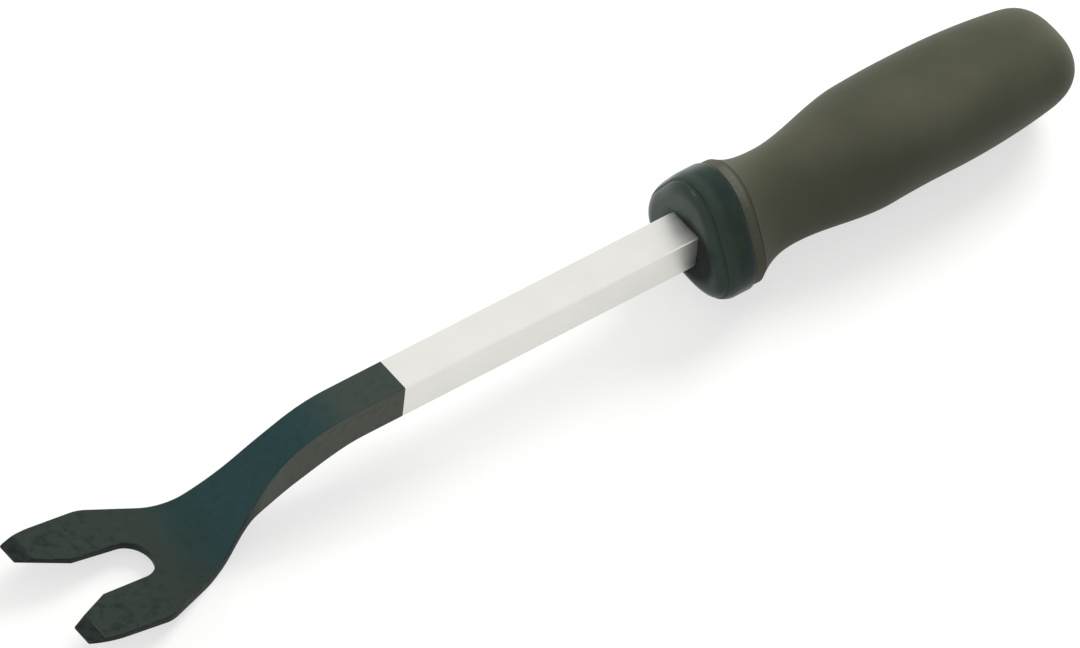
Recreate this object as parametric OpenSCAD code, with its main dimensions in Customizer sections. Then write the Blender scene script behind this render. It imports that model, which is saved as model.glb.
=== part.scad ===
// Trim removal tool: a square steel bar forged down into a forked blade,
// set in a moulded three-sided handle behind a front collar.
// Tool frame while modelling: X along the bar towards the fork, Y across, Z up,
// with X = 0 at the collar's front face. rest_pose() then lays the tool down
// on the heel of its fork and the belly of its handle.

/* [Bar] */
// Side of the square bar
bar_w = 8; // [7:0.1:10]
// Length of straight bar in front of the collar
bar_len = 80.5; // [70:0.5:100]
// Length of bar held inside the collar and the handle
tang_len = 62; // [40:1:70]

/* [Bend] */
// Drop of the top face from the bar to the hollow of the fork
top_drop = 17.3; // [15:0.1:19]
// Steepest slope of the top face
top_slope = 40; // [36:1:46]
// Radius of the first bend on the top face
crown_r = 30; // [24:1:34]
// Radius of the hollow on the top face, above the heel
hollow_r = 10; // [8:0.5:14]
// Upward slope of the top face from the hollow to the tips
tip_lift = 10.5; // [9:0.5:12]
// Stretch of the bend that keeps the bar's full thickness
thin_start = 14.5; // [12:0.5:17]
// Length over which the bar thins to a plate
thin_len = 9; // [8:0.5:11]
// Upright thickness of the plate on the slope
slope_t = 3.1; // [2.8:0.1:3.6]
// Thickness of the plate over the heel
heel_t = 2.1; // [1.9:0.1:2.6]
// Thickness of the plate at the tips, before their bevel
tip_t = 1.1; // [1:0.1:1.5]

/* [Fork] */
// Distance from the end of the straight bar to the tips
fork_reach = 66.5; // [62:0.5:74]
// Greatest width across the prongs
fork_w = 30.6; // [27:0.1:34]
// Straight bar edge that runs on past the first bend before the fork flares
flare_start = 12.5; // [8:0.5:16]
// Radius of the flare on each side
flare_r = 45; // [35:1:55]
// Slope of the flare on each side
flare_slope = 22; // [19:0.5:25]
// Radius of the outer shoulder of each prong
shoulder_r = 9; // [6:0.5:12]
// Radius that brings each prong's outer edge in towards its tip
prong_r = 26; // [20:1:40]
// Length of that rounded stretch
prong_round = 8; // [5:0.5:10]
// Width of each prong's square tip
tip_w = 4.6; // [3:0.1:5.5]
// Length of the chisel bevel on each tip
tip_bevel = 3.5; // [2:0.5:6]
// Edge left at the end of the bevel
tip_edge = 0.6; // [0.5:0.1:0.9]
// Radius at the bottom of the notch
notch_r = 4.6; // [3.8:0.1:5.2]
// Distance from the tips back to the centre of the notch's round bottom
notch_depth = 20; // [17:0.5:23]
// Slope of the notch's sides
notch_draft = 2; // [1:0.5:5]
// Distance from the tips back to where the mouth opens out
mouth_depth = 10; // [7:0.5:12]

/* [Collar] */
// Length of the collar along the bar
collar_len = 7.4; // [7:0.1:11]
// Mean radius of the collar
collar_r = 12.7; // [12:0.1:14]
// Rise of the collar's three lobes above the mean radius
collar_lobe = 1.25; // [0.6:0.05:1.25]
// Radius of the collar's front edge
collar_edge = 3.8; // [2.5:0.1:4.5]
// Width and depth of the fine ring line on the front edge
ring_line = 0.5; // [0.3:0.1:0.8]
// Break on the collar's rear edge
collar_break = 0.4; // [0.2:0.1:0.8]

/* [Handle] */
// Length of the handle behind the collar
handle_len = 81.1; // [70:0.1:95]
// Mean radius of the handle's front rim
rim_r = 12.3; // [11.5:0.1:13]
// Width of the front rim
rim_len = 2.3; // [1.5:0.1:4]
// Width and depth of the fine crease behind the rim
rim_crease = 0.5; // [0.3:0.1:0.8]
// Mean radius at the neck
neck_r = 9.6; // [9:0.05:11]
// Distance from the handle's front to the neck
neck_x = 13.6; // [10:0.1:15]
// Mean radius at the belly
belly_r = 12.25; // [11.5:0.05:13.5]
// Distance from the handle's front to the start of the belly
belly_x = 35; // [32:0.1:42]
// Length of the belly
belly_len = 15.5; // [8:0.5:18]
// Loss of radius from the belly to the butt end
butt_taper = 3.1; // [2:0.1:4]
// Length of the rounded butt end
butt_len = 10; // [7:0.5:14]
// Rise of the three lobes at the neck, in line with the collar's lobes
neck_lobe = 0.55; // [0:0.05:0.8]
// Rise of the three lobes at the belly, between the collar's lobes
belly_lobe = 0.8; // [0:0.05:0.9]
// Distance from the handle's front to where the lobes have changed over
turn_x = 46; // [40:0.5:50]
// Radius of the spigot that carries the collar
spigot_r = 8.4; // [7.8:0.1:9]
// Length of the spigot
spigot_len = 5; // [3:0.1:6]

/* [Fit] */
// Gap on each side of the bar in its socket, and round the spigot
fit_gap = 0.05; // [0.02:0.01:0.15]

/* [Hidden] */

// Faces round each lofted section, and steps in each curve of the blade
section_sides = 48;
bend_steps = 12;
profile_steps = 40;
// Overrun of a cutting shape past the faces that it cuts
over = 1;

// Stations along the tool
tip_x = bar_len + fork_reach;
flare_x = bar_len + flare_start;
thin_x = bar_len + thin_start;
thin_end = thin_x + thin_len;
notch_x = tip_x - notch_depth;
mouth_x = tip_x - mouth_depth;
handle_x = -collar_len;

// Eased step from 0 to 1
function ease(t) = let (u = min(max(t, 0), 1)) u * u * (3 - 2 * u);

// Top face in side view: level bar, first bend, straight slope, hollow and lift
slope_run = (top_drop - (crown_r + hollow_r) * (1 - cos(top_slope))) / sin(top_slope);
crown_end = bar_len + crown_r * sin(top_slope);
crown_z = bar_w / 2 - crown_r * (1 - cos(top_slope));
hollow_start = crown_end + slope_run * cos(top_slope);
hollow_x = hollow_start + hollow_r * sin(top_slope);
hollow_z = bar_w / 2 - top_drop;
lift_x = hollow_x + hollow_r * sin(tip_lift);
lift_z = hollow_z + hollow_r * (1 - cos(tip_lift));
function top_z(x) =
    x < bar_len ? bar_w / 2
    : x < crown_end ? bar_w / 2 - crown_r + sqrt(pow(crown_r, 2) - pow(x - bar_len, 2))
    : x < hollow_start ? crown_z - (x - crown_end) * tan(top_slope)
    : x < lift_x ? hollow_z + hollow_r - sqrt(pow(hollow_r, 2) - pow(x - hollow_x, 2))
    : lift_z + (x - lift_x) * tan(tip_lift);

// Upright thickness, from the full bar to the plate on the slope, the heel and the tips
function blade_t(x) =
    bar_w - (bar_w - slope_t) * ease((x - thin_x) / thin_len)
        - (slope_t - heel_t) * ease((x - thin_end) / (hollow_x - thin_end))
        - (heel_t - tip_t) * max(x - hollow_x, 0) / (tip_x - hollow_x);

// Stations through the bend, with the lines of the top face and the underside
bend_xs = [for (i = [0:profile_steps]) bar_len + (lift_x - bar_len) * i / profile_steps];
top_line = [for (x = bend_xs) [x, top_z(x)]];
under_line = [for (x = bend_xs) [x, top_z(x) - blade_t(x)]];
tip_z = top_z(tip_x) - tip_t;
bevel_x = tip_x - tip_bevel;

// Half outline of the fork seen from above: flare, shoulder and rounded prong
flare_end = [flare_x + flare_r * sin(flare_slope), bar_w / 2 + flare_r * (1 - cos(flare_slope))];
shoulder_y = fork_w / 2 - shoulder_r;
shoulder_in = shoulder_y + shoulder_r * cos(flare_slope);
shoulder_x = flare_end[0] + (shoulder_in - flare_end[1]) / tan(flare_slope) + shoulder_r * sin(flare_slope);
round_x = tip_x - prong_round;
function round_y(x) = fork_w / 2 - prong_r + sqrt(pow(prong_r, 2) - pow(x - round_x, 2));
tip_outer_y = round_y(tip_x);
tip_inner_y = tip_outer_y - tip_w;
mouth_y = (notch_r + (mouth_x - notch_x) * sin(notch_draft)) / cos(notch_draft);

side_edge = concat(
    [[-tang_len, bar_w / 2]],
    [for (i = [0:bend_steps])
        let (a = flare_slope * i / bend_steps)
        [flare_x + flare_r * sin(a), bar_w / 2 + flare_r * (1 - cos(a))]],
    [for (i = [0:bend_steps])
        let (a = flare_slope * (1 - i / bend_steps))
        [shoulder_x - shoulder_r * sin(a), shoulder_y + shoulder_r * cos(a)]],
    [for (i = [0:bend_steps])
        let (x = round_x + prong_round * i / bend_steps)
        [x, round_y(x)]]);
function flipped(line) = [for (i = [len(line) - 1:-1:0]) [line[i][0], -line[i][1]]];

// Cove behind the rim: falls away at once and levels off at the neck
cove_power = 2.5;
function cove(d) = 1 - pow(1 - min(max((d - rim_len) / (neck_x - rim_len), 0), 1), cove_power);

// Radius and lobe of the handle at a distance d behind its front face
crease_end = rim_len + rim_crease;
crease_mid = rim_len + rim_crease / 2;
taper_x = belly_x + belly_len;
butt_start = handle_len - butt_len;
function handle_r(d) =
    d < belly_x
        ? rim_r - (rim_r - neck_r) * cove(d) + (belly_r - neck_r) * ease((d - neck_x) / (belly_x - neck_x))
        : belly_r - butt_taper * pow(max(d - taper_x, 0) / (handle_len - taper_x), 2);
function handle_lobe(d) =
    collar_lobe - (collar_lobe - neck_lobe) * cove(d)
        - (neck_lobe + belly_lobe) * ease((d - neck_x) / (turn_x - neck_x));
butt_fullness = 3.4;
function butt_round(d) = sqrt(1 - pow(max(d - butt_start, 0) / butt_len, butt_fullness));

// Distances of the handle's sections: along the cove and the body, then closing up at the butt end
cove_steps = 9;
body_steps = 28;
butt_steps = 12;
handle_ds = concat(
    [for (i = [0:cove_steps - 1]) crease_end + (neck_x - crease_end) * i / cove_steps],
    [for (i = [0:body_steps]) neck_x + (butt_start - neck_x) * i / body_steps],
    [for (i = [1:butt_steps - 1]) butt_start + butt_len * sin(90 * i / butt_steps)]);
rim_break = 0.5;
handle_rings = concat(
    [[handle_x, handle_r(0) - rim_break, handle_lobe(0)]],
    [[handle_x - rim_break, handle_r(0), handle_lobe(0)]],
    [[handle_x - rim_len, handle_r(rim_len), handle_lobe(rim_len)]],
    [[handle_x - crease_mid, handle_r(crease_mid) - rim_crease, handle_lobe(crease_mid)]],
    [for (d = handle_ds) [handle_x - d, handle_r(d) * butt_round(d), handle_lobe(d) * butt_round(d)]]);

// Collar sections: front edge rounded as far as the ring line, the line, the rest of
// the edge, the land and the rear break
edge_steps = 6;
line_at = 50;
line_half = asin(ring_line / 2 / collar_edge);
function edge_ring(a, r) = [r * cos(a) - collar_edge, collar_r - collar_edge + r * sin(a), collar_lobe];
collar_rings = concat(
    [for (i = [0:edge_steps]) edge_ring((line_at - line_half) * i / edge_steps, collar_edge)],
    [edge_ring(line_at, collar_edge - ring_line)],
    [for (i = [0:edge_steps])
        edge_ring(line_at + line_half + (90 - line_at - line_half) * i / edge_steps, collar_edge)],
    [[-collar_len + collar_break, collar_r, collar_lobe]],
    [[-collar_len, collar_r - collar_break, collar_lobe]]);

// Lowest points of the handle, and the pitch at which heel and handle share the floor
handle_lows = [for (ring = handle_rings) [ring[0], -ring[1] + ring[2]]];
pitch = atan(max([for (b = under_line) min([for (h = handle_lows) (h[1] - b[1]) / (b[0] - h[0])])]));
rest_z = -min([for (b = under_line) b[0] * sin(pitch) + b[1] * cos(pitch)]);
end_x = handle_rings[len(handle_rings) - 1][0];
rest_x = -(tip_x * cos(pitch) - tip_z * sin(pitch) + end_x * cos(pitch)) / 2;

// Lays a piece that is drawn in the tool frame down on the floor
module rest_pose() {
    translate([rest_x, 0, rest_z])
        rotate([0, -pitch, 0])
            children();
}

// Smooth skin through three-lobed sections, each given as [x, mean radius, lobe]
module lobed_loft(rings) {
    n = section_sides;
    last = len(rings) - 1;
    skin = [for (ring = rings) for (i = [0:n - 1])
        let (a = 360 * i / n)
        let (r = ring[1] + ring[2] * cos(3 * (a - 90)))
        [ring[0], r * cos(a), r * sin(a)]];
    ends = [[rings[0][0], 0, 0], [rings[last][0], 0, 0]];
    front = len(skin);
    sides = [for (k = [0:last - 1]) for (i = [0:n - 1])
        let (j = (i + 1) % n)
        each [[k * n + i, (k + 1) * n + i, (k + 1) * n + j], [k * n + i, (k + 1) * n + j, k * n + j]]];
    caps = [for (i = [0:n - 1])
        let (j = (i + 1) % n)
        each [[front, i, j], [front + 1, last * n + j, last * n + i]]];
    polyhedron(concat(skin, ends), [for (f = concat(sides, caps)) [f[2], f[1], f[0]]]);
}

// Side view of the blade: bar, bend, thinning fork and chisel bevel
module blade_side() {
    polygon(concat(
        [[-tang_len, -bar_w / 2]],
        under_line,
        [[tip_x, tip_z]],
        [[tip_x, tip_z + tip_edge]],
        [[bevel_x, top_z(bevel_x)]],
        [for (i = [len(top_line) - 1:-1:0]) top_line[i]],
        [[-tang_len, bar_w / 2]]));
}

// Top view of the notch: round bottom, drafted sides and open mouth
module notch_plan() {
    translate([notch_x, 0])
        circle(notch_r, $fn = 64);
    side = [notch_x - notch_r * sin(notch_draft), notch_r * cos(notch_draft)];
    flare = (tip_inner_y - mouth_y) / mouth_depth;
    edge = [side, [mouth_x, mouth_y], [tip_x + over, tip_inner_y + flare * over]];
    polygon(concat(edge, flipped(edge)));
}

// Square bar forged down into the forked blade
module blade() {
    reach = 2 * (top_drop + bar_w);
    color("darkgray")
        rest_pose()
            difference() {
                intersection() {
                    rotate([90, 0, 0])
                        linear_extrude(2 * fork_w, center = true)
                            blade_side();
                    linear_extrude(2 * reach, center = true)
                        polygon(concat(side_edge, flipped(side_edge)));
                }
                linear_extrude(2 * reach, center = true)
                    notch_plan();
            }
}

// Square socket that the bar sits in, from the collar's face inwards
module bar_socket() {
    side = bar_w + 2 * fit_gap;
    translate([-tang_len - fit_gap, -side / 2, -side / 2])
        cube([tang_len + fit_gap + over, side, side]);
}

// Moulded handle with the spigot for its collar
module handle() {
    color("dimgray")
        rest_pose()
            difference() {
                union() {
                    lobed_loft(handle_rings);
                    translate([handle_x - over, 0, 0])
                        rotate([0, 90, 0])
                            cylinder(h = spigot_len + over, r = spigot_r, $fn = 64);
                }
                bar_socket();
            }
}

// Collar seated on the spigot, against the handle's front face
module front_collar() {
    bore_len = spigot_len + fit_gap;
    color("darkslategray")
        rest_pose()
            difference() {
                lobed_loft(collar_rings);
                translate([handle_x - over, 0, 0])
                    rotate([0, 90, 0])
                        cylinder(h = bore_len + over, r = spigot_r + fit_gap, $fn = 64);
                bar_socket();
            }
}

blade();
handle();
front_collar();
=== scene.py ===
import math

import bmesh
import bpy
from mathutils import Matrix, Vector


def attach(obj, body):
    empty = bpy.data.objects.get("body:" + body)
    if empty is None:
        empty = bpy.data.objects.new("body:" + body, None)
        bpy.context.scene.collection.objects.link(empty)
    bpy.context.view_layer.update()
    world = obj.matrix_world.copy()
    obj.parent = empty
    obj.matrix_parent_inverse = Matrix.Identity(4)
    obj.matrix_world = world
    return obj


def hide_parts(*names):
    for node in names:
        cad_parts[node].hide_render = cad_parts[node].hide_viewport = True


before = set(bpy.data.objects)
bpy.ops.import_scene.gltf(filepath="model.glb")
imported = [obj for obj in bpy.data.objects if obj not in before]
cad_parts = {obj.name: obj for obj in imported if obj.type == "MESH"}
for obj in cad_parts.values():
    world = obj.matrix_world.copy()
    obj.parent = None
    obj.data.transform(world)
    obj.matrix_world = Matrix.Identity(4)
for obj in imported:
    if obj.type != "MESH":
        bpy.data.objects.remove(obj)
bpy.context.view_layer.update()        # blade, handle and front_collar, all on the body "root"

mm = 0.001
fitGap = 0.05        # mm a side, between pieces that fit into each other
runOut = 1.0        # mm that a cutter or a joined solid reaches past the face it meets
weldGap = 0.002        # mm
smoothAngle = 40.0        # degrees
bpy.context.scene.view_settings.view_transform = "Standard"

# The pieces are modelled level, with X = 0 at the collar's front, and then laid down as the CAD lies
restPose = {"pitch": 0.771271, "xShift": -29.3491, "zShift": 13.8419}        # degrees, mm


def ease(t):
    t = min(max(t, 0.0), 1.0)
    return t * t * (3 - 2 * t)


def alongTool(x):
    # where a place on the level tool comes to lie, for colours that change along it
    return (x + restPose["xShift"]) * mm


def hexColour(text):
    channels = [int(text[i:i + 2], 16) / 255 for i in (1, 3, 5)]
    linear = [c / 12.92 if c <= 0.04045 else ((c + 0.055) / 1.055) ** 2.4 for c in channels]
    return (*linear, 1.0)


def addNode(tree, kind, settings, inputs):
    node = tree.nodes.new(kind)
    for name, value in settings.items():
        setattr(node, name, value)
    for name, value in inputs.items():
        if isinstance(value, bpy.types.NodeSocket):
            tree.links.new(value, node.inputs[name])
        else:
            node.inputs[name].default_value = value
    return node


def startMaterial(name):
    material = bpy.data.materials.new(name)
    material.use_nodes = True
    material.node_tree.nodes.clear()
    return material, material.node_tree


def startPiece(name):
    piece = bpy.context.object
    piece.name = name
    piece.data.name = name
    bpy.ops.object.mode_set(mode="EDIT")
    return piece


def pick(kind, test):
    # selects the faces, edges or vertices of the piece in edit mode that pass the test
    bpy.ops.mesh.select_mode(type=kind)
    bpy.ops.mesh.select_all(action="DESELECT")
    data = bpy.context.edit_object.data
    shape = bmesh.from_edit_mesh(data)
    parts = {"FACE": shape.faces, "EDGE": shape.edges, "VERT": shape.verts}[kind]
    for part in parts:
        if test(part):
            part.select_set(True)
    shape.select_flush_mode()
    bmesh.update_edit_mesh(data)


def applyModifier(piece, kind, **settings):
    modifier = piece.modifiers.new(kind.lower(), kind)
    for name, value in settings.items():
        setattr(modifier, name, value)
    bpy.context.view_layer.objects.active = piece
    bpy.ops.object.modifier_apply(modifier=modifier.name)


def cutAway(piece, cutter):
    applyModifier(piece, "BOOLEAN", object=cutter, operation="DIFFERENCE", solver="EXACT")
    bpy.data.objects.remove(cutter)


def selectOnly(piece):
    bpy.ops.object.select_all(action="DESELECT")
    piece.select_set(True)
    bpy.context.view_layer.objects.active = piece


def closeMesh(piece):
    # merges doubles and turns all faces outwards
    selectOnly(piece)
    bpy.ops.object.mode_set(mode="EDIT")
    bpy.ops.mesh.select_all(action="SELECT")
    bpy.ops.mesh.remove_doubles(threshold=weldGap * mm)
    bpy.ops.mesh.normals_make_consistent(inside=False)
    bpy.ops.object.mode_set(mode="OBJECT")


def layDown(piece):
    selectOnly(piece)
    turn = Matrix.Rotation(math.radians(-restPose["pitch"]), 4, "Y")
    move = Matrix.Translation((restPose["xShift"] * mm, 0, restPose["zShift"] * mm))
    piece.matrix_world = move @ turn
    bpy.ops.object.transform_apply(location=True, rotation=True, scale=True)


bpy.ops.object.select_all(action="DESELECT")

# square bar cranked down and forged flat into a fork (mm, degrees)
blade = {
    "side": 8.0, "tang": 62.0, "tips": 147.0, "blackFrom": 68.0,
    "straight": 80.5, "crownRadius": 30.0, "slope": 40.0, "hollowRadius": 10.0, "drop": 17.3, "lift": 10.5,
    "bellyFrom": 77.0, "bellyLength": 25.5, "bellyDrop": 5.6, "bellyBlend": 2.0,
    "plateFrom": 104.0, "slopeThickness": 3.1, "heelThickness": 2.1, "tipThickness": 1.1,
    "width": 30.6, "flareFrom": 91.5, "flareRadius": 45.0, "flareSlope": 22.0, "shoulderRadius": 9.0,
    "prongRadius": 26.0, "prongRound": 8.0, "tipWidth": 4.6, "tipBevel": 3.5, "tipEdge": 0.6,
    "notchRadius": 4.6, "notchDepth": 20.0, "notchDraft": 2.0, "mouthDepth": 10.0, "notchSides": 90,
    "step": 0.6, "bevelStep": 1.2, "flatWithin": 0.2, "edgeRound": 0.28, "roundFrom": 8.0,
}


def hollowAt():
    # X of the hollow's lowest point, which is the heel that the fork rests on
    slope, radii = math.radians(blade["slope"]), blade["crownRadius"] + blade["hollowRadius"]
    run = (blade["drop"] - radii * (1 - math.cos(slope))) / math.sin(slope)
    return blade["straight"] + radii * math.sin(slope) + run * math.cos(slope)


def topHeight(x):
    # level bar, crown, straight fall, hollow, then the lift to the tips
    straight, slope, lift = blade["straight"], math.radians(blade["slope"]), math.radians(blade["lift"])
    crown, hollow, level = blade["crownRadius"], blade["hollowRadius"], blade["side"] / 2
    crownEnd = straight + crown * math.sin(slope)
    hollowX = hollowAt()
    liftFrom = hollowX + hollow * math.sin(lift)
    if x <= straight:
        return level
    if x <= crownEnd:
        return level - crown + math.sqrt(crown ** 2 - (x - straight) ** 2)
    if x <= hollowX - hollow * math.sin(slope):
        return level - crown * (1 - math.cos(slope)) - (x - crownEnd) * math.tan(slope)
    if x <= liftFrom:
        return level - blade["drop"] + hollow - math.sqrt(hollow ** 2 - (x - hollowX) ** 2)
    return level - blade["drop"] + hollow * (1 - math.cos(lift)) + (x - liftFrom) * math.tan(lift)


def thickness(x):
    # the plate thins to the tips; before it, the bar's belly falls in one sweep and runs into the plate
    plateFrom, hollowX = blade["plateFrom"], hollowAt()
    slopeT, heelT = blade["slopeThickness"], blade["heelThickness"]
    thinned = (slopeT - heelT) * ease((x - plateFrom) / (hollowX - plateFrom))
    tapered = (heelT - blade["tipThickness"]) * max(x - hollowX, 0) / (blade["tips"] - hollowX)
    plate = slopeT - thinned - tapered
    if x > hollowX:
        return plate
    fall = blade["bellyDrop"] * ease((x - blade["bellyFrom"]) / blade["bellyLength"])
    bar = topHeight(x) + blade["side"] / 2 + fall
    near = max(blade["bellyBlend"] - abs(bar - plate), 0) / blade["bellyBlend"]
    return max(bar, plate) + near ** 2 * blade["bellyBlend"] / 4


def halfWidth(x):
    # bar, curve into the flare, straight flare, shoulder, parallel prongs, then their rounded outer ends
    slope, bend, corner = math.radians(blade["flareSlope"]), blade["flareRadius"], blade["shoulderRadius"]
    flareEnd = blade["flareFrom"] + bend * math.sin(slope)
    flareY = blade["side"] / 2 + bend * (1 - math.cos(slope))
    midY = blade["width"] / 2 - corner
    shoulderFrom = flareEnd + (midY + corner * math.cos(slope) - flareY) / math.tan(slope)
    shoulderX = shoulderFrom + corner * math.sin(slope)
    endFrom, prong = blade["tips"] - blade["prongRound"], blade["prongRadius"]
    if x <= blade["flareFrom"]:
        return blade["side"] / 2
    if x <= flareEnd:
        return blade["side"] / 2 + bend - math.sqrt(bend ** 2 - (x - blade["flareFrom"]) ** 2)
    if x <= shoulderFrom:
        return flareY + (x - flareEnd) * math.tan(slope)
    if x <= shoulderX:
        return midY + math.sqrt(corner ** 2 - (x - shoulderX) ** 2)
    if x <= endFrom:
        return blade["width"] / 2
    return blade["width"] / 2 - prong + math.sqrt(prong ** 2 - (x - endFrom) ** 2)


def makeBlade():
    side, barEnd, tang, tips = blade["side"], blade["bellyFrom"], blade["tang"], blade["tips"]
    bpy.ops.mesh.primitive_cube_add(size=1, location=((barEnd - tang) / 2 * mm, 0, 0),
                                    scale=((barEnd + tang) * mm, side * mm, side * mm))
    bpy.ops.object.transform_apply(location=True, rotation=True, scale=True)
    piece = startPiece("forkBlade")
    pick("FACE", lambda face: face.normal.x > 0.9)

    # the end face is drawn out station by station, down the bend and along the fork to the chisel tips
    step, bevelFrom = blade["step"], tips - blade["tipBevel"]
    bevelHigh, tipHigh = topHeight(bevelFrom), topHeight(tips) - blade["tipThickness"] + blade["tipEdge"]
    stations = [barEnd + i * step for i in range(1, int((bevelFrom - barEnd) / step) + 1)]
    stations = sorted(stations + [tips - blade["prongRound"]])
    stations += [bevelFrom + i * blade["bevelStep"] for i in range(3)] + [tips]
    lastX, lastMid, lastHalf, lastThick = barEnd, 0.0, side / 2, side
    for x in stations:
        low, high = topHeight(x) - thickness(x), topHeight(x)
        if x > bevelFrom:
            high = bevelHigh + (tipHigh - bevelHigh) * (x - bevelFrom) / blade["tipBevel"]
        mid, thick, half = (low + high) / 2, high - low, halfWidth(x)
        bpy.ops.mesh.extrude_region_move(
            TRANSFORM_OT_translate={"value": ((x - lastX) * mm, 0, (mid - lastMid) * mm)})
        bpy.ops.transform.resize(value=(1, half / lastHalf, thick / lastThick),
                                 center_override=(x * mm, 0, mid * mm))
        lastX, lastMid, lastHalf, lastThick = x, mid, half, thick
    bpy.ops.mesh.select_all(action="SELECT")        # flats of the fork become single faces
    bpy.ops.mesh.dissolve_limited(angle_limit=math.radians(blade["flatWithin"]))
    bpy.ops.object.mode_set(mode="OBJECT")

    cutAway(piece, makeNotch())
    piece.data.materials.append(satinChrome())
    piece.data.materials.append(blackOxide())
    applyModifier(piece, "BEVEL", width=blade["edgeRound"] * mm, segments=3, material=1,
                  limit_method="ANGLE", angle_limit=math.radians(blade["roundFrom"]),
                  use_clamp_overlap=True, miter_outer="MITER_ARC")
    closeMesh(piece)
    markEdges(piece)

    # the black finish starts at a clean line square across the bar
    bpy.ops.object.mode_set(mode="EDIT")
    bpy.ops.mesh.select_all(action="SELECT")
    bpy.ops.mesh.bisect(plane_co=(blade["blackFrom"] * mm, 0, 0), plane_no=(1, 0, 0))
    piece.active_material_index = 0
    bpy.ops.mesh.select_all(action="SELECT")
    bpy.ops.object.material_slot_assign()
    pick("FACE", lambda face: face.calc_center_median().x > blade["blackFrom"] * mm)
    piece.active_material_index = 1
    bpy.ops.object.material_slot_assign()
    bpy.ops.object.mode_set(mode="OBJECT")

    bpy.ops.object.shade_smooth()
    applyModifier(piece, "WEIGHTED_NORMAL", mode="FACE_AREA", weight=90)
    layDown(piece)
    return piece


def makeNotch():
    # cutter: part of a circle for the round bottom, its two ends drawn out to the mouth and past the tips
    cutLow, cutHeight = -30.0, 40.0        # mm, well clear of the fork
    tips, radius, draft = blade["tips"], blade["notchRadius"], math.radians(blade["notchDraft"])
    notchX, mouthX = tips - blade["notchDepth"], tips - blade["mouthDepth"]
    mouthY = (radius + (mouthX - notchX) * math.sin(draft)) / math.cos(draft)
    tipY = halfWidth(tips) - blade["tipWidth"]
    flare = (tipY - mouthY) / blade["mouthDepth"]
    bpy.ops.object.select_all(action="DESELECT")
    bpy.ops.mesh.primitive_circle_add(vertices=blade["notchSides"], radius=radius * mm,
                                      location=(notchX * mm, 0, cutLow * mm))
    bpy.ops.object.transform_apply(location=True, rotation=True, scale=True)
    cutter = startPiece("notchCutter")
    sideX = (notchX - radius * math.sin(draft)) * mm
    pick("VERT", lambda vert: vert.co.x > sideX)
    bpy.ops.mesh.delete(type="VERT")
    endX = max(vert.co.x for vert in bmesh.from_edit_mesh(cutter.data).verts)
    pick("VERT", lambda vert: vert.co.x > endX - weldGap * mm)
    endY = max(vert.co.y for vert in bmesh.from_edit_mesh(cutter.data).verts if vert.select)
    lastX, lastY = endX / mm, endY / mm
    for x, y in ((mouthX, mouthY), (tips + runOut, tipY + flare * runOut)):
        bpy.ops.mesh.extrude_vertices_move(TRANSFORM_OT_translate={"value": ((x - lastX) * mm, 0, 0)})
        bpy.ops.transform.resize(value=(1, y / lastY, 1), center_override=(x * mm, 0, 0))
        lastX, lastY = x, y
    bpy.ops.mesh.select_all(action="SELECT")
    bpy.ops.mesh.edge_face_add()
    bpy.ops.mesh.extrude_region_move(TRANSFORM_OT_translate={"value": (0, 0, cutHeight * mm)})
    bpy.ops.mesh.select_all(action="SELECT")
    bpy.ops.mesh.normals_make_consistent(inside=False)
    bpy.ops.object.mode_set(mode="OBJECT")
    return cutter


def markEdges(piece):
    # 1 in the middle of the small rounds along the edges, where the finish rubs off first, 0 elsewhere
    mesh = piece.data
    onRound = [1.0] * len(mesh.vertices)
    for face in mesh.polygons:
        if face.material_index == 0:        # the bevel gave its own faces slot 1
            for index in face.vertices:
                onRound[index] = 0.0
    wear = mesh.attributes.new("edgeWear", "FLOAT", "POINT")
    wear.data.foreach_set("value", onRound)


def satinChrome():
    # satin chrome on drawn steel bar: near white, soft reflections, faint drawing lines along the length
    material, tree = startMaterial("satinChromePlate")
    look = {
        "tint": "#eeede9", "dull": "#e3e2dd", "roughness": (0.34, 0.48),
        "lineLength": 14.0, "lineWidth": 0.22, "lineDepth": 0.02, "cloud": 9.0,        # mm
    }
    length, width = look["lineLength"] * mm, look["lineWidth"] * mm
    place = addNode(tree, "ShaderNodeTexCoord", {}, {})
    stretch = addNode(tree, "ShaderNodeMapping", {}, {
        "Vector": place.outputs["Object"], "Scale": (1 / length, 1 / width, 1 / width)})
    lines = addNode(tree, "ShaderNodeTexNoise", {}, {
        "Vector": stretch.outputs["Vector"], "Scale": 1.0, "Detail": 3.0})
    cloud = addNode(tree, "ShaderNodeTexNoise", {}, {
        "Vector": place.outputs["Object"], "Scale": 1 / (look["cloud"] * mm), "Detail": 2.0})
    tone = addNode(tree, "ShaderNodeMix", {"data_type": "RGBA"}, {
        0: cloud.outputs["Fac"], 6: hexColour(look["tint"]), 7: hexColour(look["dull"])})
    rough = addNode(tree, "ShaderNodeMapRange", {}, {
        "Value": lines.outputs["Fac"], "From Min": 0.3, "From Max": 0.7,
        "To Min": look["roughness"][0], "To Max": look["roughness"][1]})
    bump = addNode(tree, "ShaderNodeBump", {}, {
        "Strength": 0.12, "Distance": look["lineDepth"] * mm, "Height": lines.outputs["Fac"]})
    metal = addNode(tree, "ShaderNodeBsdfPrincipled", {}, {
        "Base Color": tone.outputs[2], "Metallic": 1.0, "Roughness": rough.outputs["Result"],
        "Normal": bump.outputs["Normal"]})
    addNode(tree, "ShaderNodeOutputMaterial", {}, {"Surface": metal.outputs["BSDF"]})
    return material


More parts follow.
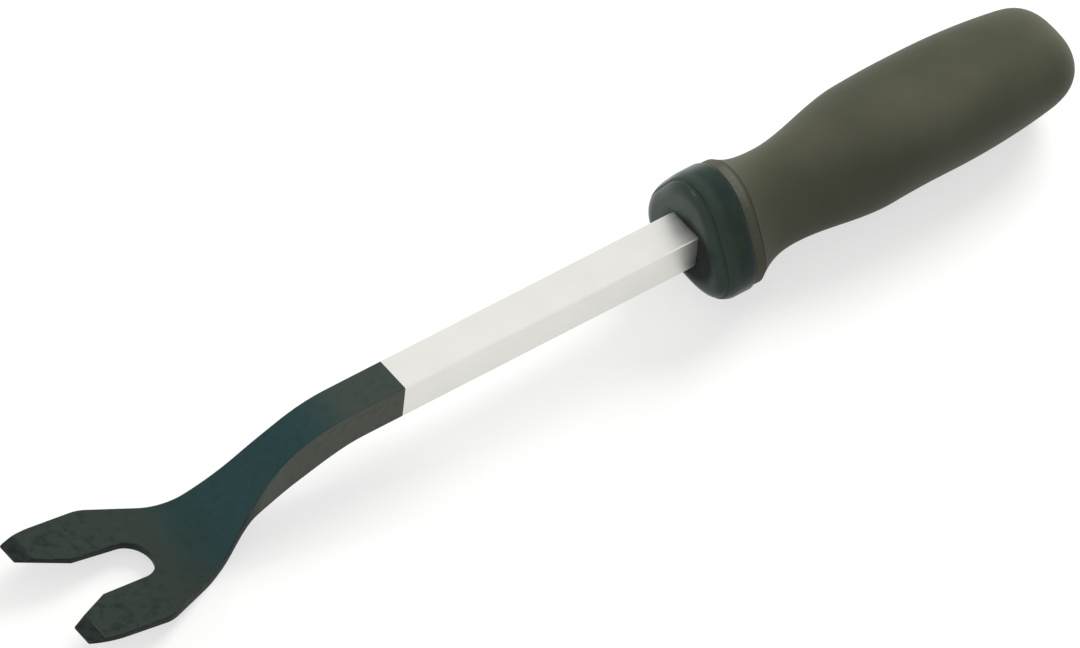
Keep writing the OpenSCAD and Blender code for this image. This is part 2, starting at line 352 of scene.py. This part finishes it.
def blackOxide():
    # black oxide over forged steel: blue-black where the heat was, olive towards the bar and the tips,
    # with painted light on the bar's end and sides and painted shade on the prongs' sides and chisel tips,
    # hardly any gloss, blotched by the scale under it and rubbed along the edges
    material, tree = startMaterial("blackOxideForgedSteel")
    look = {
        "blue": "#223e41", "olive": "#28302a", "litBarEnd": "#39403a", "litFlank": "#60645a", "shadedProngSide": "#141813",
        "blotchAndTipShade": "#090d09", "rubbed": "#55574f", "roughness": (0.55, 0.68),
        "scale": 0.5, "scaleDepth": 0.05, "blotch": 1.8, "cloud": 14.0,        # mm
        "blueAt": 99.0, "blueFade": (7.0, 27.0),        # mm along the tool, and mm away from there
        "litBarFade": (80.0, 94.0), "flankFade": (99.0, 106.0),        # mm along the tool
        "prongFade": (118.0, 138.0), "tipShadeFade": (143.2, 143.8),
    }
    place = addNode(tree, "ShaderNodeTexCoord", {}, {})
    axes = addNode(tree, "ShaderNodeSeparateXYZ", {}, {"Vector": place.outputs["Object"]})
    cloud = addNode(tree, "ShaderNodeTexNoise", {}, {
        "Vector": place.outputs["Object"], "Scale": 1 / (look["cloud"] * mm), "Detail": 3.0})
    grain = addNode(tree, "ShaderNodeTexNoise", {}, {
        "Vector": place.outputs["Object"], "Scale": 1 / (look["scale"] * mm),
        "Detail": 4.0, "Roughness": 0.6})
    blotch = addNode(tree, "ShaderNodeTexNoise", {}, {
        "Vector": place.outputs["Object"], "Scale": 1 / (look["blotch"] * mm), "Detail": 2.0})
    # distance from the middle of the bend, where the colour is bluest
    away = addNode(tree, "ShaderNodeMath", {"operation": "SUBTRACT"}, {
        0: axes.outputs["X"], 1: alongTool(look["blueAt"])})
    far = addNode(tree, "ShaderNodeMath", {"operation": "ABSOLUTE"}, {0: away.outputs["Value"]})
    fade = addNode(tree, "ShaderNodeMapRange", {"interpolation_type": "SMOOTHSTEP"}, {
        "Value": far.outputs["Value"], "From Min": look["blueFade"][0] * mm,
        "From Max": look["blueFade"][1] * mm})
    mottle = addNode(tree, "ShaderNodeMath", {"operation": "MULTIPLY_ADD", "use_clamp": True}, {
        0: cloud.outputs["Fac"], 1: 0.6, 2: fade.outputs["Result"]})
    shifted = addNode(tree, "ShaderNodeMapRange", {}, {
        "Value": mottle.outputs["Value"], "From Min": 0.25, "From Max": 1.0})
    # painted light: the olive is made paler on the bar's end of the bend, where the flat top faces up
    litAlongBar = addNode(tree, "ShaderNodeMapRange", {"interpolation_type": "SMOOTHSTEP"}, {
        "Value": axes.outputs["X"], "From Min": alongTool(look["litBarFade"][0]),
        "From Max": alongTool(look["litBarFade"][1])})
    olive = addNode(tree, "ShaderNodeMix", {"data_type": "RGBA"}, {
        0: litAlongBar.outputs["Result"], 6: hexColour(look["litBarEnd"]), 7: hexColour(look["olive"])})
    tone = addNode(tree, "ShaderNodeMix", {"data_type": "RGBA"}, {
        0: shifted.outputs["Result"], 6: hexColour(look["blue"]), 7: olive.outputs[2]})
    # painted light and shade by how far the surface faces sideways: painted paler on the bar's sides,
    # painted dark on the prongs' sides
    facing = addNode(tree, "ShaderNodeNewGeometry", {}, {})
    sideways = addNode(tree, "ShaderNodeSeparateXYZ", {}, {"Vector": facing.outputs["Normal"]})
    sideAmount = addNode(tree, "ShaderNodeMath", {"operation": "ABSOLUTE"}, {0: sideways.outputs["Y"]})
    onFlank = addNode(tree, "ShaderNodeMapRange", {}, {
        "Value": sideAmount.outputs["Value"], "From Min": 0.5, "From Max": 0.85})
    alongFlank = addNode(tree, "ShaderNodeMapRange", {"interpolation_type": "SMOOTHSTEP"}, {
        "Value": axes.outputs["X"], "From Min": alongTool(look["flankFade"][0]),
        "From Max": alongTool(look["flankFade"][1])})
    flankLightShade = addNode(tree, "ShaderNodeMix", {"data_type": "RGBA"}, {
        0: alongFlank.outputs["Result"], 6: hexColour(look["litFlank"]), 7: hexColour(look["shadedProngSide"])})
    flankPainted = addNode(tree, "ShaderNodeMix", {"data_type": "RGBA"}, {
        0: onFlank.outputs["Result"], 6: tone.outputs[2], 7: flankLightShade.outputs[2]})
    # scale blotches, strongest on the prongs, and painted shade on the chisel tips' bevels
    onProngs = addNode(tree, "ShaderNodeMapRange", {"interpolation_type": "SMOOTHSTEP"}, {
        "Value": axes.outputs["X"], "From Min": alongTool(look["prongFade"][0]),
        "From Max": alongTool(look["prongFade"][1]), "To Min": 0.15, "To Max": 0.65})
    tipShaded = addNode(tree, "ShaderNodeMapRange", {}, {
        "Value": axes.outputs["X"], "From Min": alongTool(look["tipShadeFade"][0]),
        "From Max": alongTool(look["tipShadeFade"][1]), "To Min": 0.0, "To Max": 0.6})
    spots = addNode(tree, "ShaderNodeMapRange", {}, {
        "Value": blotch.outputs["Fac"], "From Min": 0.5, "From Max": 0.68})
    spotAndTipShade = addNode(tree, "ShaderNodeMath", {"operation": "MULTIPLY_ADD", "use_clamp": True}, {
        0: spots.outputs["Result"], 1: onProngs.outputs["Result"], 2: tipShaded.outputs["Result"]})
    spottedTipShaded = addNode(tree, "ShaderNodeMix", {"data_type": "RGBA"}, {
        0: spotAndTipShade.outputs["Value"], 6: flankPainted.outputs[2], 7: hexColour(look["blotchAndTipShade"])})
    # patches of bare steel along the edges
    edge = addNode(tree, "ShaderNodeAttribute", {"attribute_name": "edgeWear"}, {})
    patchy = addNode(tree, "ShaderNodeMapRange", {}, {
        "Value": blotch.outputs["Fac"], "From Min": 0.45, "From Max": 0.7, "To Min": 0.0, "To Max": 0.6})
    rub = addNode(tree, "ShaderNodeMath", {"operation": "MULTIPLY"}, {
        0: edge.outputs["Fac"], 1: patchy.outputs["Result"]})
    colour = addNode(tree, "ShaderNodeMix", {"data_type": "RGBA"}, {
        0: rub.outputs["Value"], 6: spottedTipShaded.outputs[2], 7: hexColour(look["rubbed"])})
    rough = addNode(tree, "ShaderNodeMapRange", {}, {
        "Value": grain.outputs["Fac"], "From Min": 0.3, "From Max": 0.7,
        "To Min": look["roughness"][0], "To Max": look["roughness"][1]})
    bump = addNode(tree, "ShaderNodeBump", {}, {
        "Strength": 0.25, "Distance": look["scaleDepth"] * mm, "Height": grain.outputs["Fac"]})
    coat = addNode(tree, "ShaderNodeBsdfPrincipled", {}, {
        "Base Color": colour.outputs[2], "Metallic": 0.0, "Roughness": rough.outputs["Result"],
        "IOR": 1.4, "Specular IOR Level": 0.38, "Specular Tint": (0.72, 1.0, 0.96, 1.0),
        "Normal": bump.outputs["Normal"]})
    addNode(tree, "ShaderNodeOutputMaterial", {}, {"Surface": coat.outputs["BSDF"]})
    return material


forkBlade = makeBlade()
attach(forkBlade, "root")
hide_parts("blade")
print("blade made:", len(forkBlade.data.polygons), "faces")


# handle and collar: rings drawn out along the axis, then pushed out into three soft lobes
def drawRings(name, rings, sides):
    # rings are (x, mean radius) in mm from front to back; both ends are closed
    x, radius = rings[0]
    bpy.ops.object.select_all(action="DESELECT")
    bpy.ops.mesh.primitive_circle_add(vertices=sides, radius=radius * mm, rotation=(0, math.radians(90), 0))
    bpy.ops.object.transform_apply(location=True, rotation=True, scale=True)
    piece = startPiece(name)
    bpy.ops.mesh.select_all(action="SELECT")
    bpy.ops.transform.translate(value=(x * mm, 0, 0))
    bpy.ops.mesh.edge_face_add()        # front face, which stays behind when the ring is drawn out
    lastX, lastRadius = x, radius
    for x, radius in rings[1:]:
        grow = radius / lastRadius
        bpy.ops.mesh.extrude_region_move(TRANSFORM_OT_translate={"value": ((x - lastX) * mm, 0, 0)})
        bpy.ops.transform.resize(value=(1, grow, grow), center_override=(x * mm, 0, 0))
        lastX, lastRadius = x, radius
    bpy.ops.object.mode_set(mode="OBJECT")
    return piece


def pushLobes(piece, lobeAt):
    for vert in piece.data.vertices:
        radius = math.hypot(vert.co.y, vert.co.z)
        if radius > weldGap * mm:
            angle = math.atan2(vert.co.z, vert.co.y)
            grow = 1 + lobeAt(vert.co.x / mm) * mm * math.cos(3 * (angle - math.pi / 2)) / radius
            vert.co.y *= grow
            vert.co.z *= grow


def addCylinder(radius, back, front):
    # for the spigot and the bore round it: along the axis, between two places in mm
    bpy.ops.object.select_all(action="DESELECT")
    bpy.ops.mesh.primitive_cylinder_add(vertices=handle["spigotSides"], radius=radius * mm,
                                        depth=(front - back) * mm, rotation=(0, math.radians(90), 0),
                                        location=((front + back) / 2 * mm, 0, 0))
    bpy.ops.object.transform_apply(location=True, rotation=True, scale=True)
    return bpy.context.object


def barSocket(depth):
    # cutter for the bar's square hole, from just before the collar's front to this depth behind it
    side, length = blade["side"] + 2 * fitGap, depth + runOut
    bpy.ops.object.select_all(action="DESELECT")
    bpy.ops.mesh.primitive_cube_add(size=1, location=((runOut - length / 2) * mm, 0, 0),
                                    scale=(length * mm, side * mm, side * mm))
    bpy.ops.object.transform_apply(location=True, rotation=True, scale=True)
    return bpy.context.object


# moulded grip (mm, degrees); places along it are counted from its front
handle = {
    "front": -7.4, "length": 81.1,
    "sides": 96, "ringSteps": (4, 6, 70, 17),        # on the rim, crease, body and butt
    "rim": 12.3, "rimLength": 2.3, "rimRound": 0.5, "crease": 0.5, "creaseDepth": 0.2,
    "neck": 9.6, "neckAt": 13.6, "covePower": 2.5, "belly": 12.25, "bellyAt": 35.0, "bellyLength": 15.5,
    "buttTaper": 3.1, "buttLength": 10.0, "buttFullness": 3.4, "buttSweep": 82.5,
    "rimLobe": 1.25, "neckLobe": 0.55, "bellyLobe": 0.8, "turnedAt": 46.0,
    "spigot": 8.4, "spigotLength": 5.0, "spigotSides": 64,
}


def cove(d):
    # 0 on the rim, falling away at once behind it and levelling off at 1 at the neck
    along = (d - handle["rimLength"]) / (handle["neckAt"] - handle["rimLength"])
    return 1 - (1 - min(max(along, 0), 1)) ** handle["covePower"]


def handleRadius(d):
    rim, neck, belly = handle["rim"], handle["neck"], handle["belly"]
    if d < handle["bellyAt"]:
        rise = ease((d - handle["neckAt"]) / (handle["bellyAt"] - handle["neckAt"]))
        return rim + (neck - rim) * cove(d) + (belly - neck) * rise
    taperAt = handle["bellyAt"] + handle["bellyLength"]
    return belly - handle["buttTaper"] * (max(d - taperAt, 0) / (handle["length"] - taperAt)) ** 2


def buttRound(d):
    past = max(d - handle["length"] + handle["buttLength"], 0) / handle["buttLength"]
    return math.sqrt(max(1 - past ** handle["buttFullness"], 0))


def handleLobe(x):
    # the three lobes turn over between the neck and the belly
    d = max(handle["front"] - x, 0)
    lobe = handle["rimLobe"] + (handle["neckLobe"] - handle["rimLobe"]) * cove(d)
    turned = ease((d - handle["neckAt"]) / (handle["turnedAt"] - handle["neckAt"]))
    return (lobe - (handle["neckLobe"] + handle["bellyLobe"]) * turned) * buttRound(d)


def makeHandle():
    front, rimRound, rimLength, crease = (handle[k] for k in ("front", "rimRound", "rimLength", "crease"))
    rimSteps, creaseSteps, bodySteps, buttSteps = handle["ringSteps"]
    creaseEnd, buttFrom = rimLength + crease, handle["length"] - handle["buttLength"]
    rings = []
    for i in range(rimSteps + 1):        # rounded front edge of the rim
        a = math.radians(90 * i / rimSteps)
        rings.append((rimRound * (1 - math.cos(a)), handle["rim"] - rimRound * (1 - math.sin(a))))
    for i in range(creaseSteps + 1):        # fine crease behind the rim
        d = rimLength + crease * i / creaseSteps
        rings.append((d, handleRadius(d) - handle["creaseDepth"] * math.sin(math.pi * i / creaseSteps)))
    for i in range(1, bodySteps + 1):        # neck and belly
        d = creaseEnd + (buttFrom - creaseEnd) * i / bodySteps
        rings.append((d, handleRadius(d)))
    for i in range(1, buttSteps + 1):        # butt, closing up on a small flat
        d = buttFrom + handle["buttLength"] * math.sin(math.radians(handle["buttSweep"] * i / buttSteps))
        rings.append((d, handleRadius(d) * buttRound(d)))
    piece = drawRings("gripHandle", [(front - d, radius) for d, radius in rings], handle["sides"])
    pushLobes(piece, handleLobe)

    # spigot for the collar, then the socket for the bar
    spigot = addCylinder(handle["spigot"], front - runOut, front + handle["spigotLength"])
    applyModifier(piece, "BOOLEAN", object=spigot, operation="UNION", solver="EXACT")
    bpy.data.objects.remove(spigot)
    cutAway(piece, barSocket(blade["tang"] + fitGap))
    closeMesh(piece)
    piece.data.materials.append(handlePlastic())
    bpy.ops.object.shade_smooth_by_angle(angle=math.radians(smoothAngle))
    layDown(piece)
    return piece


def handlePlastic():
    # polypropylene moulded in a spark-eroded tool: dark olive grey, satin, a fine even grain, hardly any
    # gloss, and a painted highlight on the rim's upper side
    material, tree = startMaterial("mouldedPolypropylene")
    look = {
        "dark": "#404233", "light": "#4f5041", "rimHighlight": "#7a7b70", "rimHighlightFacing": (0.0, 0.38, 0.92),
        "roughness": (0.52, 0.64), "rimFade": (-0.2, 0.4),        # rimFade in mm from the rim's back
        "grain": 0.45, "grainDepth": 0.06, "cloud": 22.0,        # mm; the real grain is 0.1, too fine to show
    }
    place = addNode(tree, "ShaderNodeTexCoord", {}, {})
    axes = addNode(tree, "ShaderNodeSeparateXYZ", {}, {"Vector": place.outputs["Object"]})
    grain = addNode(tree, "ShaderNodeTexNoise", {}, {
        "Vector": place.outputs["Object"], "Scale": 1 / (look["grain"] * mm),
        "Detail": 3.0, "Roughness": 0.6})
    cloud = addNode(tree, "ShaderNodeTexNoise", {}, {
        "Vector": place.outputs["Object"], "Scale": 1 / (look["cloud"] * mm), "Detail": 4.0})
    mottle = addNode(tree, "ShaderNodeMapRange", {}, {
        "Value": cloud.outputs["Fac"], "From Min": 0.35, "From Max": 0.65})
    tone = addNode(tree, "ShaderNodeMix", {"data_type": "RGBA"}, {
        0: mottle.outputs["Result"], 6: hexColour(look["dark"]), 7: hexColour(look["light"])})
    # painted highlight: the rim is made paler, in a grainy patch, where it faces up and to the near side
    rimBack = handle["front"] - handle["rimLength"]
    onRim = addNode(tree, "ShaderNodeMapRange", {"interpolation_type": "SMOOTHSTEP"}, {
        "Value": axes.outputs["X"], "From Min": alongTool(rimBack + look["rimFade"][0]),
        "From Max": alongTool(rimBack + look["rimFade"][1])})
    facing = addNode(tree, "ShaderNodeNewGeometry", {}, {})
    upward = addNode(tree, "ShaderNodeVectorMath", {"operation": "DOT_PRODUCT"}, {
        0: facing.outputs["Normal"], 1: look["rimHighlightFacing"]})
    above = addNode(tree, "ShaderNodeMapRange", {}, {
        "Value": upward.outputs["Value"], "From Min": 0.75, "From Max": 0.98, "To Min": 0.1, "To Max": 1.0})
    litRim = addNode(tree, "ShaderNodeMath", {"operation": "MULTIPLY"}, {
        0: onRim.outputs["Result"], 1: above.outputs["Result"]})
    rimHighlightGrain = addNode(tree, "ShaderNodeMath", {"operation": "MULTIPLY"}, {
        0: litRim.outputs["Value"], 1: grain.outputs["Fac"]})
    colour = addNode(tree, "ShaderNodeMix", {"data_type": "RGBA"}, {
        0: rimHighlightGrain.outputs["Value"], 6: tone.outputs[2], 7: hexColour(look["rimHighlight"])})
    rough = addNode(tree, "ShaderNodeMapRange", {}, {
        "Value": cloud.outputs["Fac"], "From Min": 0.3, "From Max": 0.7,
        "To Min": look["roughness"][0], "To Max": look["roughness"][1]})
    bump = addNode(tree, "ShaderNodeBump", {}, {
        "Strength": 0.3, "Distance": look["grainDepth"] * mm, "Height": grain.outputs["Fac"]})
    plastic = addNode(tree, "ShaderNodeBsdfPrincipled", {}, {
        "Base Color": colour.outputs[2], "Roughness": rough.outputs["Result"], "IOR": 1.49,
        "Specular IOR Level": 0.25, "Normal": bump.outputs["Normal"]})
    addNode(tree, "ShaderNodeOutputMaterial", {}, {"Surface": plastic.outputs["BSDF"]})
    return material


gripHandle = makeHandle()
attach(gripHandle, "root")
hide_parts("handle")
print("handle made:", len(gripHandle.data.polygons), "faces")

# guard on the handle's spigot (mm; lineAt in degrees round the front edge)
collar = {
    "length": 7.4, "radius": 12.7, "lobe": 1.25, "edge": 3.8, "rearBreak": 0.4, "holeBreak": 0.25,
    "line": 0.9, "lineDepth": 0.3, "lineAt": 50.0,
    "sides": 96, "ringSteps": (9, 8, 7, 4),        # before the line, across it, after it, rear edge
}


def makeCollar():
    edge, radius, length, rearBreak = (collar[k] for k in ("edge", "radius", "length", "rearBreak"))
    beforeSteps, lineSteps, afterSteps, rearSteps = collar["ringSteps"]
    # rounded front edge with a fine ring line in it, as degrees and distance from the round's middle
    lineHalf = math.degrees(math.asin(collar["line"] / 2 / edge))
    lineFrom, lineTo = collar["lineAt"] - lineHalf, collar["lineAt"] + lineHalf
    sweep = [(lineFrom * i / beforeSteps, edge) for i in range(beforeSteps + 1)]
    for i in range(1, lineSteps):
        dip = collar["lineDepth"] * math.sin(math.pi * i / lineSteps) ** 2
        sweep.append((lineFrom + 2 * lineHalf * i / lineSteps, edge - dip))
    sweep += [(lineTo + (90 - lineTo) * i / afterSteps, edge) for i in range(afterSteps + 1)]
    rings = []
    for angle, reach in sweep:
        a = math.radians(angle)
        rings.append((reach * math.cos(a) - edge, radius - edge + reach * math.sin(a)))
    for i in range(rearSteps + 1):        # rounded rear edge
        a = math.radians(90 * i / rearSteps)
        rings.append((rearBreak * (1 - math.sin(a)) - length, radius - rearBreak * (1 - math.cos(a))))
    piece = drawRings("frontCollar", rings, collar["sides"])
    pushLobes(piece, lambda x: collar["lobe"])

    # bore for the handle's spigot, and the square hole that the bar comes out of
    cutAway(piece, addCylinder(handle["spigot"] + fitGap, -length - runOut,
                               handle["spigotLength"] - length + fitGap))
    cutAway(piece, barSocket(length + runOut))
    closeMesh(piece)
    bpy.ops.object.mode_set(mode="EDIT")
    holeReach = (blade["side"] / 2 + 4 * fitGap) * mm

    def onHole(vert):
        return vert.co.x > -weldGap * mm and max(abs(vert.co.y), abs(vert.co.z)) < holeReach

    pick("EDGE", lambda item: all(onHole(vert) for vert in item.verts))
    bpy.ops.mesh.bevel(offset=collar["holeBreak"] * mm, segments=2, affect="EDGES")
    bpy.ops.object.mode_set(mode="OBJECT")
    piece.data.materials.append(collarPlastic())
    bpy.ops.object.shade_smooth_by_angle(angle=math.radians(smoothAngle))
    layDown(piece)
    return piece


def collarPlastic():
    # black nylon from a polished tool: semi-gloss, with a flow mottle between blue-black and green-black,
    # rubbed a little paler on the front edge, with painted shade round the bar, which is also made matt there
    material, tree = startMaterial("mouldedBlackNylon")
    look = {
        "dark": "#17282d", "light": "#2f3b2d", "rubbed": "#435249", "barShade": "#060b0b",
        "roughness": (0.20, 0.30), "barShadeMatt": 0.5,
        "grain": 0.7, "grainDepth": 0.05, "cloud": 8.0,        # mm
        "rubbedFade": (-4.6, -2.6),        # mm along the tool
        "barShadeAt": (1.5, -0.9),        # mm across and up from the bar's axis
        "barShadeFade": (7.5, 10.5), "barShadeRagged": 3.0,        # mm out from there
    }
    place = addNode(tree, "ShaderNodeTexCoord", {}, {})
    axes = addNode(tree, "ShaderNodeSeparateXYZ", {}, {"Vector": place.outputs["Object"]})
    grain = addNode(tree, "ShaderNodeTexNoise", {}, {
        "Vector": place.outputs["Object"], "Scale": 1 / (look["grain"] * mm), "Detail": 2.0})
    cloud = addNode(tree, "ShaderNodeTexNoise", {}, {
        "Vector": place.outputs["Object"], "Scale": 1 / (look["cloud"] * mm), "Detail": 3.0})
    flow = addNode(tree, "ShaderNodeMapRange", {}, {
        "Value": cloud.outputs["Fac"], "From Min": 0.32, "From Max": 0.68})
    tone = addNode(tree, "ShaderNodeMix", {"data_type": "RGBA"}, {
        0: flow.outputs["Result"], 6: hexColour(look["dark"]), 7: hexColour(look["light"])})
    onEdge = addNode(tree, "ShaderNodeMapRange", {"interpolation_type": "SMOOTHSTEP"}, {
        "Value": axes.outputs["X"], "From Min": alongTool(look["rubbedFade"][0]),
        "From Max": alongTool(look["rubbedFade"][1]), "To Min": 0.0, "To Max": 0.6})
    edged = addNode(tree, "ShaderNodeMix", {"data_type": "RGBA"}, {
        0: onEdge.outputs["Result"], 6: tone.outputs[2], 7: hexColour(look["rubbed"])})
    # painted shade where the bar comes out, more of it on the near side; it also makes the surface matt there
    barShadeY, barShadeZ = look["barShadeAt"]
    across = addNode(tree, "ShaderNodeCombineXYZ", {}, {"Y": axes.outputs["Y"], "Z": axes.outputs["Z"]})
    out = addNode(tree, "ShaderNodeVectorMath", {"operation": "DISTANCE"}, {
        0: across.outputs["Vector"], 1: (0, barShadeY * mm, (barShadeZ + restPose["zShift"]) * mm)})
    ragged = addNode(tree, "ShaderNodeMath", {"operation": "MULTIPLY_ADD"}, {
        0: cloud.outputs["Fac"], 1: look["barShadeRagged"] * mm, 2: out.outputs["Value"]})
    barShaded = addNode(tree, "ShaderNodeMapRange", {"interpolation_type": "SMOOTHSTEP"}, {
        "Value": ragged.outputs["Value"], "From Min": look["barShadeFade"][0] * mm,
        "From Max": look["barShadeFade"][1] * mm, "To Min": 0.85, "To Max": 0.0})
    colour = addNode(tree, "ShaderNodeMix", {"data_type": "RGBA"}, {
        0: barShaded.outputs["Result"], 6: edged.outputs[2], 7: hexColour(look["barShade"])})
    rough = addNode(tree, "ShaderNodeMapRange", {}, {
        "Value": cloud.outputs["Fac"], "From Min": 0.3, "From Max": 0.7,
        "To Min": look["roughness"][0], "To Max": look["roughness"][1]})
    matt = addNode(tree, "ShaderNodeMath", {"operation": "MULTIPLY_ADD"}, {
        0: barShaded.outputs["Result"], 1: look["barShadeMatt"], 2: rough.outputs["Result"]})
    bump = addNode(tree, "ShaderNodeBump", {}, {
        "Strength": 0.15, "Distance": look["grainDepth"] * mm, "Height": grain.outputs["Fac"]})
    plastic = addNode(tree, "ShaderNodeBsdfPrincipled", {}, {
        "Base Color": colour.outputs[2], "Roughness": matt.outputs["Value"], "IOR": 1.53,
        "Specular IOR Level": 0.13, "Specular Tint": (0.86, 1.0, 0.96, 1.0),
        "Normal": bump.outputs["Normal"]})
    addNode(tree, "ShaderNodeOutputMaterial", {}, {"Surface": plastic.outputs["BSDF"]})
    return material


frontCollar = makeCollar()
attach(frontCollar, "root")
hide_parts("front_collar")
print("collar made:", len(frontCollar.data.polygons), "faces")

# floor, light and camera (floorGap in mm, other lengths in m)
studio = {
    "floorSize": 6.0, "floorGap": 0.02, "floorColour": "#ababa9", "floorLift": 0.65,
    "skyForShading": 0.45, "skySeen": 1.0, "lampDistance": 1.0,
    "softKey": {"from": (-0.72, -0.30, 0.63), "size": 0.5, "power": 9.0, "mirrored": False},
    "frontLamp": {"from": (0.80, -0.46, 0.38), "size": 0.16, "power": 1.5, "mirrored": True},
}


def seenRays(tree):
    # 1 for rays that show the floor or the sky itself, 0 for those that carry its light to the tool
    rays = addNode(tree, "ShaderNodeLightPath", {}, {})
    either = addNode(tree, "ShaderNodeMath", {"operation": "MAXIMUM"}, {
        0: rays.outputs["Is Camera Ray"], 1: rays.outputs["Is Glossy Ray"]})
    seen = addNode(tree, "ShaderNodeMath", {"operation": "MAXIMUM"}, {
        0: either.outputs["Value"], 1: rays.outputs["Is Transmission Ray"]})
    return seen.outputs["Value"]


def makeFloor():
    # pale paper, lifted to white where it is seen, so that only the shadow shows on it
    floorZ = -studio["floorGap"] * mm
    bpy.ops.object.select_all(action="DESELECT")
    bpy.ops.mesh.primitive_plane_add(size=studio["floorSize"], location=(0, 0, floorZ))
    floor = bpy.context.object
    floor.name = "studioFloor"
    material, tree = startMaterial("palePaper")
    paper = addNode(tree, "ShaderNodeBsdfDiffuse", {}, {"Color": hexColour(studio["floorColour"])})
    lift = addNode(tree, "ShaderNodeMath", {"operation": "MULTIPLY"}, {
        0: seenRays(tree), 1: studio["floorLift"]})
    glow = addNode(tree, "ShaderNodeEmission", {}, {"Strength": lift.outputs["Value"]})
    both = addNode(tree, "ShaderNodeAddShader", {}, {0: paper.outputs["BSDF"], 1: glow.outputs["Emission"]})
    addNode(tree, "ShaderNodeOutputMaterial", {}, {"Surface": both.outputs["Shader"]})
    floor.data.materials.append(material)


def makeSky():
    world = bpy.data.worlds.new("studioSky")
    bpy.context.scene.world = world
    world.use_nodes = True
    tree = world.node_tree
    tree.nodes.clear()
    level = addNode(tree, "ShaderNodeMapRange", {}, {
        "Value": seenRays(tree), "To Min": studio["skyForShading"], "To Max": studio["skySeen"]})
    sky = addNode(tree, "ShaderNodeBackground", {}, {
        "Color": (1, 1, 1, 1), "Strength": level.outputs["Result"]})
    addNode(tree, "ShaderNodeOutputWorld", {}, {"Surface": sky.outputs["Background"]})


def makeLamp(name):
    look = studio[name]
    lamp = bpy.data.lights.new(name, "AREA")
    lamp.shape = "SQUARE"
    lamp.size = look["size"]
    lamp.energy = look["power"]
    holder = bpy.data.objects.new(name, lamp)
    bpy.context.scene.collection.objects.link(holder)
    away = Vector(look["from"]).normalized()
    holder.location = away * studio["lampDistance"]
    holder.rotation_euler = (-away).to_track_quat("-Z", "Y").to_euler()
    holder.visible_glossy = look["mirrored"]        # the key stays out of the bar's gloss


camera = {
    "azimuth": 48.96, "elevation": 49.14, "roll": 5.76,        # degrees, azimuth from +X towards +Y
    "target": (-1.46, -6.14, 1.43), "distance": 5000.0,        # mm; the target is the picture's middle
    "pixelsPerMm": 5.3655, "pictureWidth": 1080,
    "sensor": 36.0, "clip": (0.05, 20.0),        # mm, and m
}


def makeCamera():
    lens = bpy.data.cameras.new("photoCamera")
    lens.sensor_width = camera["sensor"]
    lens.lens = camera["sensor"] * camera["pixelsPerMm"] * camera["distance"] / camera["pictureWidth"]
    lens.clip_start, lens.clip_end = camera["clip"]
    view = bpy.data.objects.new("photoCamera", lens)
    bpy.context.scene.collection.objects.link(view)
    az, el = math.radians(camera["azimuth"]), math.radians(camera["elevation"])
    away = Vector((math.cos(el) * math.cos(az), math.cos(el) * math.sin(az), math.sin(el)))
    level = (-away).to_track_quat("-Z", "Y").to_matrix().to_4x4()
    roll = Matrix.Rotation(math.radians(camera["roll"]), 4, "Z")
    target = Vector(camera["target"]) * mm
    view.matrix_world = Matrix.Translation(target + away * camera["distance"] * mm) @ level @ roll
    bpy.context.scene.camera = view


makeFloor()
makeSky()
makeLamp("softKey")
makeLamp("frontLamp")
makeCamera()
print("floor, light and camera made")
